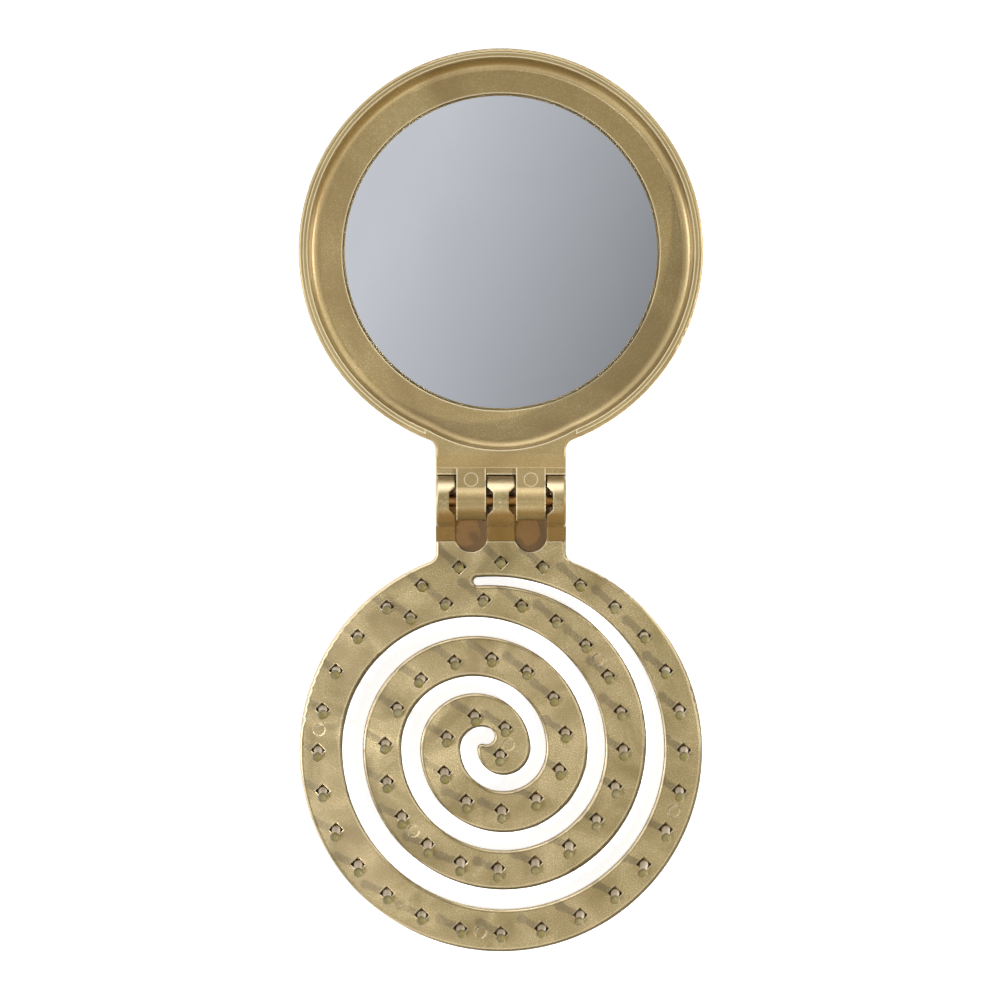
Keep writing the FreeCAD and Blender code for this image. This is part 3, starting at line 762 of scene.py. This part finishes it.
@dataclass
class Bristles:
    """Rows of ball-tipped bristles that lean away from the hinge, more so further from it."""

    seed: int
    shaft_radius: float = 0.6 * MM
    tip_radius: float = 0.85 * MM
    head_radius: float = 1.3 * MM
    head_thick: float = 0.7 * MM
    root_radius: float = 0.8 * MM
    root_height: float = 4.5 * MM
    near_lean: float = 0.05 * MM
    far_lean: float = 1.6 * MM
    lean_power: float = 0.75
    lean_spread: Span = (0.85, 1.15)
    side_spread: float = 0.13 * MM
    tip_reach: float = 32.45 * MM
    root_shift: float = 0.12 * MM
    root_share: float = 0.17
    around: int = 20
    ball_rings: int = 9
    shaft_rings: int = 6
    top_margin: float = 0.001 * MM
    place_digits: int = 5

    def places(self, node: str) -> np.ndarray:
        """Feet of a row's bristles, read from the tops of the row's solids.

        Args:
            node: Name of the CAD node.

        Returns:
            One row of X, Y for each bristle.
        """
        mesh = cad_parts[node].data
        points = np.empty(len(mesh.vertices) * 3)
        mesh.vertices.foreach_get("co", points)
        points = points.reshape(-1, 3)
        tops = points[points[:, 2] > points[:, 2].max() - self.top_margin]
        return np.unique(np.round(tops[:, :2], self.place_digits), axis=0)

    def leans(self, feet: np.ndarray, middle: np.ndarray, near: float, far: float) -> np.ndarray:
        """How far each tip stands off its foot.

        The lean along Y grows with a power of the distance from the hinge, a seeded spread is added across,
        and a tip that would leave the lid's hollow is drawn back to its edge.

        Args:
            feet: X, Y of each foot.
            middle: X, Y of the plate's middle.
            near: Y of the plate's edge next to the hinge.
            far: Y of its other edge.

        Returns:
            One row of X, Y for each bristle.
        """
        share = np.clip((near - feet[:, 1]) / (near - far), 0.0, 1.0) ** self.lean_power
        lean = self.near_lean + (self.far_lean - self.near_lean) * share
        random = np.random.default_rng(self.seed)
        across = random.normal(0.0, self.side_spread, len(feet))
        tips = feet + np.stack([across, -lean * random.uniform(*self.lean_spread, len(feet))], axis=-1)
        reach = np.linalg.norm(tips - middle, axis=-1, keepdims=True)
        room = np.maximum(self.tip_reach, np.linalg.norm(feet - middle, axis=-1, keepdims=True))
        return middle + (tips - middle) * np.minimum(1.0, room / reach) - feet

    def profile(self, height: float) -> tuple[np.ndarray, np.ndarray]:
        """Rings of a bristle: a flat head, a shaft that is stouter at its root, and a ball.

        Args:
            height: From the head's underside to the tip.

        Returns:
            The rings' heights above the foot, and their radii.
        """
        ball = height - self.tip_radius
        lowest = math.asin(self.shaft_radius / self.tip_radius)
        turn = np.linspace(lowest, math.pi, self.ball_rings + 1)[:-1]
        neck = ball - self.tip_radius * math.cos(lowest)
        shaft = np.linspace(self.head_thick, neck, self.shaft_rings)[:-1]
        heights = np.concatenate([[0.0, self.head_thick], shaft, ball - self.tip_radius * np.cos(turn)])
        taper = np.clip(1 - (shaft - self.head_thick) / self.root_height, 0.0, 1.0)
        radii = np.concatenate([[self.head_radius] * 2,
                                self.shaft_radius + (self.root_radius - self.shaft_radius) * taper,
                                self.tip_radius * np.sin(turn)])
        return heights, radii

    def build(self, node: str, material: bpy.types.Material) -> bpy.types.Object:
        """One row of bristles in place of its CAD node.

        A point lies on a circle of the ring's radius about the bristle's own line. From the head, that line
        first moves to the hinge's side of its hole, and then leans the other way in step with the height.

        Args:
            node: Name of the CAD node.
            material: The bristles' finish.

        Returns:
            The new piece.
        """
        lowest, highest = (np.array(corner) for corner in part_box(node))
        plate_low, plate_high = (np.array(corner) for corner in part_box("brush_back_cover"))
        feet = self.places(node)
        radius = (plate_high[0] - plate_low[0]) / 2
        middle = np.array((0.0, plate_low[1] + radius))
        leans = self.leans(feet, middle, middle[1] + radius, plate_low[1])
        heights, radii = self.profile(highest[2] - lowest[2])
        share = np.clip((heights - self.head_thick) / (heights[-1] - self.head_thick), 0.0, 1.0)
        turn = np.arange(self.around) * 2 * math.pi / self.around
        ring = np.stack([np.cos(turn), np.sin(turn)], axis=-1)
        root = self.root_shift * (1 - share) * np.minimum(share / self.root_share, 1.0)
        line = leans[:, None] * share[None, :, None] + np.stack([np.zeros_like(root), root], axis=-1)
        flat = (feet[:, None] + line)[:, :, None] + radii[None, :, None, None] * ring[None, None]
        level = np.broadcast_to(lowest[2] + heights[None, :, None, None], flat.shape[:-1] + (1,))
        rings = np.concatenate([flat, level], axis=-1).reshape(len(feet), -1, 3)
        foot = np.concatenate([feet, np.full((len(feet), 1), lowest[2])], axis=-1)[:, None]
        top = np.concatenate([feet + leans, np.full((len(feet), 1), highest[2])], axis=-1)[:, None]
        points = np.concatenate([rings, foot, top], axis=1).reshape(-1, 3)
        faces = tube_faces(len(feet), len(heights), self.around)
        piece = make_object(node + "_leaning", points, faces, smooth=True)
        piece.data.materials.append(material)
        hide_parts(node)
        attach(piece, "brush")
        LOG.info("%s: %d bristles", piece.name, len(feet))
        return piece


def dress(node: str, material: bpy.types.Material) -> None:
    """Gives a CAD node its finish.

    Args:
        node: Name of the CAD node.
        material: The finish.
    """
    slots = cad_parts[node].data.materials
    slots.clear()
    slots.append(material)
    LOG.info("%s: %s", node, material.name)


@dataclass
class Brush:
    """The brush half: plate, cover, hinge pin and three rows of bristles."""

    plate: PearlGold = PearlGold(
        name="plate_gold",
        pigment=Pigment(
            deep=display_colour(127, 109, 63), light=display_colour(156, 137, 88),
            blush=display_colour(180, 157, 116), glint=display_colour(250, 238, 210),
            flow_scale=70.0, swirl=1.6, blush_share=0.4, flake_scale=5000.0, flake_share=0.5),
        # Painted shade in the plate's holes, slots and corners, and on the slot floors below its face.
        hollows=PaintedHollowShade(
            corner=display_colour(216, 182, 112), reach=5.0 * MM, share=0.95,
            floor=display_colour(120, 85, 30), open_level=3.7 * MM, deep_level=1.9 * MM),
        # Painted highlight along the plate's outer edges, with their gloss.
        edges=EdgeHighlightAndGloss(
            tone=display_colour(240, 226, 192), radius=0.3 * MM, share=0.14, rough=0.15, metallic=0.6),
        # Painted highlight and painted shade where the plate's faces roll away.
        turns=PaintedLightAndShade(
            pale=display_colour(226, 208, 170), dark=display_colour(88, 80, 56),
            brown=display_colour(146, 112, 58), radius=0.5 * MM, share=0.85, share_above=0.7),
        metallic=0.5, smooth=0.22, rough=0.34, grain_scale=2500.0, grain_height=0.006 * MM,
        coat=0.35, coat_on_painted_shade=0.0)
    pin: DrawnBrass = DrawnBrass(
        name="pin_brass", bright=display_colour(206, 158, 92), dull=display_colour(164, 116, 60))
    # The bristles' colour turns to a painted shade low down in their holes.
    nylon: OliveNylon = OliveNylon(
        name="bristle_nylon", shaft=display_colour(238, 225, 206), tip=display_colour(118, 106, 56),
        painted_recess_shade=display_colour(148, 118, 66), fade_span=(9.4 * MM, 10.4 * MM),
        hole_shade_span=(3.9 * MM, 2.8 * MM))
    rows: tuple[str, ...] = ("bristles_outer_ring", "bristles_second_turn", "bristles_inner_turn")
    first_seed: int = 11

    def build(self, workshop: Workshop) -> None:
        """Dresses the CAD nodes and makes the bristles.

        Args:
            workshop: Holder of the shared effects.
        """
        gold = self.plate.build(workshop)
        dress("brush_front_plate", gold)
        dress("brush_back_cover", gold)
        dress("hinge_pin", self.pin.build(workshop))
        nylon = self.nylon.build(workshop)
        for number, row in enumerate(self.rows):
            Bristles(seed=self.first_seed + number).build(row, nylon)


@dataclass
class Lid:
    """The lid half: cup, mirror and the tape that holds it."""

    shell: PearlGold = PearlGold(
        name="lid_gold",
        pigment=Pigment(
            deep=display_colour(140, 117, 68), light=display_colour(161, 139, 85),
            blush=display_colour(177, 154, 104), glint=display_colour(236, 222, 180),
            flow_scale=45.0, swirl=1.2, blush_share=0.3, flake_scale=6000.0, flake_share=0.4),
        # Painted shade in the lid's inside corners.
        hollows=PaintedHollowShade(corner=display_colour(160, 108, 44), reach=5.0 * MM, share=0.3),
        # Painted highlight along the lid's outer edges, with their gloss.
        edges=EdgeHighlightAndGloss(
            tone=display_colour(244, 230, 190), radius=0.35 * MM, share=0.7, rough=0.3, metallic=0.25),
        # Painted highlight and painted shade where the lid's faces roll away.
        turns=PaintedLightAndShade(
            pale=display_colour(226, 206, 160), dark=display_colour(150, 112, 56),
            brown=display_colour(150, 112, 56), radius=0.4 * MM, share=0.08, share_above=0.08),
        metallic=0.65, smooth=0.26, rough=0.4, grain_scale=3200.0, grain_height=0.01 * MM, coat=0.75)
    tape: FoamTape = FoamTape(
        name="tape", pale=display_colour(236, 236, 230), cell=display_colour(200, 200, 192))
    glass: SilveredGlass = SilveredGlass(
        name="mirror", silver=(0.93, 0.94, 0.95, 1.0), haze=(0.9, 0.91, 0.92, 1.0))

    def build(self, workshop: Workshop) -> None:
        """Dresses the CAD nodes.

        Args:
            workshop: Holder of the shared effects.
        """
        dress("lid_shell", self.shell.build(workshop))
        dress("mirror_adhesive", self.tape.build(workshop))
        dress("mirror_glass", self.glass.build(workshop))


@dataclass(frozen=True)
class Lamp:
    """A square soft lamp."""

    name: str
    place: Point
    width: float
    power: float
    aim: Point = (0.0, 0.0, 0.0)
    in_gloss: bool = True

    def build(self) -> None:
        """Hangs the lamp in its place, turned to its aim."""
        data = bpy.data.lights.new(self.name, "AREA")
        data.size = self.width
        data.energy = self.power
        lamp = bpy.data.objects.new(self.name, data)
        lamp.location = self.place
        look = np.array(self.aim) - np.array(self.place)
        tilt = math.atan2(math.hypot(look[0], look[1]), -look[2])
        lamp.rotation_euler = (tilt, 0.0, math.atan2(look[1], look[0]) - math.pi / 2)
        lamp.visible_glossy = self.in_gloss
        bpy.context.scene.collection.objects.link(lamp)


@dataclass
class Studio:
    """Camera, floor, card, wall and lamps round the object."""

    camera_height: float = 1.604
    plate_level: float = 0.004
    pixel: float = 0.1737 * MM
    image_size: int = 1000
    hinge_pixel: Span = (501.0, 501.0)
    sensor: float = 36.0
    view_end: float = 10.0
    sky_light: float = 0.07
    floor_half: float = 1.5
    floor_drop: float = 0.01 * MM
    floor_colour: Colour = (0.8, 0.8, 0.8, 1.0)
    floor_rough: float = 0.9
    floor_glow: float = 0.82
    card_height: float = 2.2
    card_half: float = 0.45
    card_colour: Colour = (0.94, 0.97, 1.03, 1.0)
    card_bright: float = 0.62
    card_dark: float = 0.285
    card_middle: Point = (0.0, 0.103, 0.0)
    card_way: Point = (0.92, -0.39, 0.0)
    card_fade: Span = (-0.047, 0.065)
    wall_radius: float = 1.1
    wall_height: float = 2.0
    wall_sides: int = 64
    wall_way: Point = (-0.4, 0.9, 0.0)
    wall_fade: Span = (-1.0, -0.3)
    wall_rise: Span = (0.4, 1.3)
    wall_dark: Colour = (0.52, 0.34, 0.15, 1.0)
    wall_pale: Colour = (1.7, 1.7, 1.7, 1.0)
    lamps: tuple[Lamp, ...] = (
        Lamp("main_lamp", (-0.1, 1.0, 0.38), width=0.9, power=3.4),
        Lamp("key_lamp", (0.2, -0.21, 0.42), width=0.02, power=2.5, aim=(0.0, -0.03, 0.0), in_gloss=False),
        Lamp("left_lamp", (-0.95, 0.05, 0.38), width=0.4, power=2.2),
        Lamp("right_lamp", (0.95, 0.05, 0.38), width=0.35, power=3.0),
        Lamp("sheen_lamp", (-0.13, -0.1, 1.5), width=0.1, power=0.75, aim=(0.0, -0.04, 0.0)),
    )

    def build(self) -> None:
        """Builds the whole studio."""
        self.build_camera()
        self.build_world()
        self.build_floor()
        self.build_card()
        self.build_wall()
        for lamp in self.lamps:
            lamp.build()

    def build_camera(self) -> None:
        """Camera straight above, so far off that the picture's scale holds on the plate's face."""
        focal = (self.camera_height - self.plate_level) / self.pixel
        data = bpy.data.cameras.new("camera")
        data.sensor_width = self.sensor
        data.lens = focal * self.sensor / self.image_size
        data.clip_end = self.view_end
        camera = bpy.data.objects.new("camera", data)
        half = self.image_size / 2
        across = (half - self.hinge_pixel[0]) * self.pixel
        along = (self.hinge_pixel[1] - half) * self.pixel
        camera.location = (across, along, self.camera_height)
        bpy.context.scene.collection.objects.link(camera)
        bpy.context.scene.camera = camera

    def shown(self, graph: Graph) -> Socket:
        """Share that is 1 for rays from the camera, from gloss and through glass, and 0 for all others.

        Args:
            graph: Graph of the material or world that asks.

        Returns:
            The share.
        """
        rays = graph.add("LightPath").outputs
        seen = graph.maths("MAXIMUM", rays["Is Camera Ray"], rays["Is Glossy Ray"])
        return graph.maths("MAXIMUM", seen, rays["Is Transmission Ray"])

    def build_world(self) -> None:
        """White surroundings to look at, which light the object less than they show."""
        world = bpy.data.worlds.new("studio")
        world.use_nodes = True
        bpy.context.scene.world = world
        graph = Graph(world.node_tree)
        background = world.node_tree.nodes["Background"].inputs
        background["Color"].default_value = (1.0, 1.0, 1.0, 1.0)
        graph.feed(background["Strength"], graph.between(self.shown(graph), self.sky_light, 1.0))

    def flat_card(self, name: str, half: float, level: float) -> bpy.types.Object:
        """Level square card over the origin, as a grid of one face.

        Args:
            name: The card's name.
            half: Half of its side.
            level: Its height.

        Returns:
            The new object, marked as part of the stage.
        """
        corners = np.array(((-1, -1), (1, -1), (1, 1), (-1, 1))) * half
        points = np.concatenate([corners, np.full((4, 1), level)], axis=-1)
        card = make_object(name, points, [[0, 1, 2, 3]], smooth=False)
        return card

    def build_floor(self) -> None:
        """White floor that keeps a faint shadow: most of what the camera sees of it is its own white."""
        floor = self.flat_card("floor", self.floor_half, -self.floor_drop)
        material = bpy.data.materials.new("floor_white")
        material.use_nodes = True
        graph = Graph(material.node_tree)
        surface = material.node_tree.nodes["Principled BSDF"].inputs
        surface["Base Color"].default_value = self.floor_colour
        surface["Roughness"].default_value = self.floor_rough
        surface["Specular IOR Level"].default_value = 0.0
        surface["Emission Color"].default_value = (1.0, 1.0, 1.0, 1.0)
        graph.feed(surface["Emission Strength"], graph.between(self.shown(graph), 0.0, self.floor_glow))
        floor.data.materials.append(material)

    def glow(self, name: str) -> tuple[Graph, bpy.types.Material, bpy.types.NodeInputs]:
        """Starts a material that only gives light.

        Args:
            name: The material's name.

        Returns:
            Its graph, the material and the inputs of its light.
        """
        material = bpy.data.materials.new(name)
        material.use_nodes = True
        graph = Graph(material.node_tree)
        emission = graph.add("Emission")
        output = material.node_tree.nodes["Material Output"]
        graph.feed(output.inputs["Surface"], emission.outputs["Emission"])
        return graph, material, emission.inputs

    def build_card(self) -> None:
        """Grey card overhead that the mirror shows, brighter towards the far left."""
        card = self.flat_card("ceiling_card", self.card_half, self.card_height)
        graph, material, light = self.glow("ceiling_grey")
        place = graph.add("VectorMath", {0: graph.place(), 1: self.card_middle}, operation="SUBTRACT")
        fall = graph.dot(place.outputs["Vector"], self.card_way)
        light["Color"].default_value = self.card_colour
        graph.feed(light["Strength"], graph.spread(fall, *self.card_fade, self.card_bright, self.card_dark))
        card.data.materials.append(material)
        card.visible_camera = False

    def build_wall(self) -> None:
        """Round wall, dark and warm at the near right, so that faces turned there show a deep gold.

        A point lies on a circle of the wall's radius, at the floor or at the wall's top.
        """
        turn = np.linspace(0.0, 2 * math.pi, self.wall_sides, endpoint=False)
        ring = np.stack([np.cos(turn), np.sin(turn)], axis=-1) * self.wall_radius
        levels = np.repeat([0.0, self.wall_height], self.wall_sides)[:, None]
        points = np.concatenate([np.concatenate([ring, ring]), levels], axis=-1)
        first = np.arange(self.wall_sides)
        after = (first + 1) % self.wall_sides
        faces = np.stack([after, first, first + self.wall_sides, after + self.wall_sides], axis=-1)
        wall = make_object("round_wall", points, faces.tolist(), smooth=True)
        graph, material, light = self.glow("wall_fade")
        place = graph.place()
        round_share = graph.spread(graph.dot(place, self.wall_way), *self.wall_fade)
        share = graph.maths("MAXIMUM", round_share, graph.spread(graph.level(place), *self.wall_rise))
        graph.feed(light["Color"], graph.blend(share, self.wall_dark, self.wall_pale))
        graph.feed(light["Strength"], graph.between(self.shown(graph), self.sky_light, 1.0))
        wall.data.materials.append(material)
        wall.visible_camera = False
        wall.visible_shadow = False


def main() -> None:
    """Builds both halves of the brush and the studio, in order."""
    logging.basicConfig(level=logging.INFO, format="%(name)s: %(message)s")
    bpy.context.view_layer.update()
    bpy.context.scene.view_settings.view_transform = "Standard"
    workshop = Workshop()
    Brush().build(workshop)
    Lid().build(workshop)
    Studio().build()


if __name__ == "__main__":
    main()
